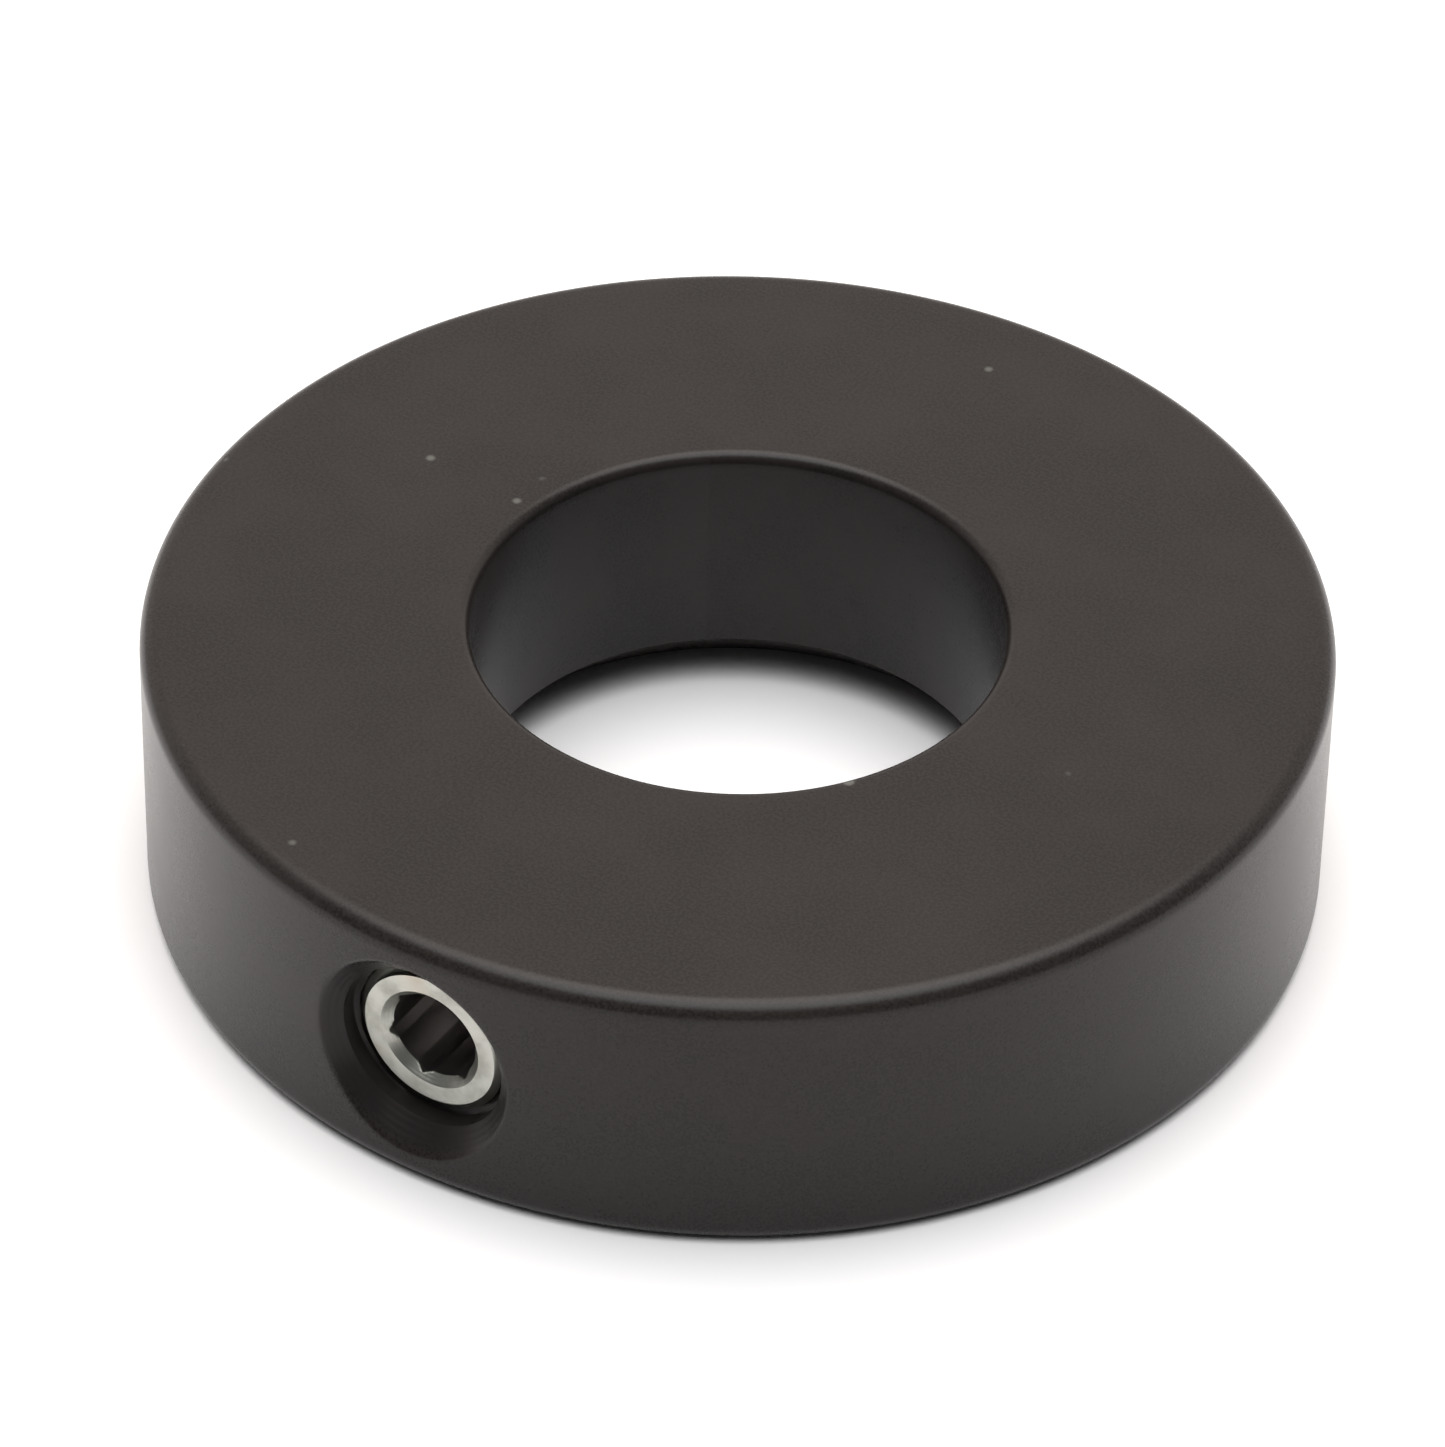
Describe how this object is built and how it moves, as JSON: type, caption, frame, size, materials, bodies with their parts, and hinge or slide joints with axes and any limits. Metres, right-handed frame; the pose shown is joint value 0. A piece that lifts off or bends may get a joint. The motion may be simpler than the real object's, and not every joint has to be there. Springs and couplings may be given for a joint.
{
  "type": "shaft collar",
  "caption": "Solid ring that slides over a round shaft and is locked in place by a radial socket set screw.",
  "frame": {"origin": "centre of the ring's lower face, on the bore's axis", "axes": "+Z along the bore's axis; -Y out along the set screw, through its socket; X across"},
  "size_m": [0.04, 0.04, 0.01],
  "materials": {
    "ring_black_anodised": "blasted and anodised matt black",
    "screw_stainless": "bright machined stainless steel"
  },
  "bodies": {
    "collar": {"collar_ring": "ring_black_anodised"},
    "screw": {"set_screw": "screw_stainless"}
  },
  "joints": [
    {"name": "set_screw_travel", "type": "slide", "parent": "collar", "child": "screw", "axis": [0, -1, 0], "range_m": [-0.002, 0.006]}
  ]
}
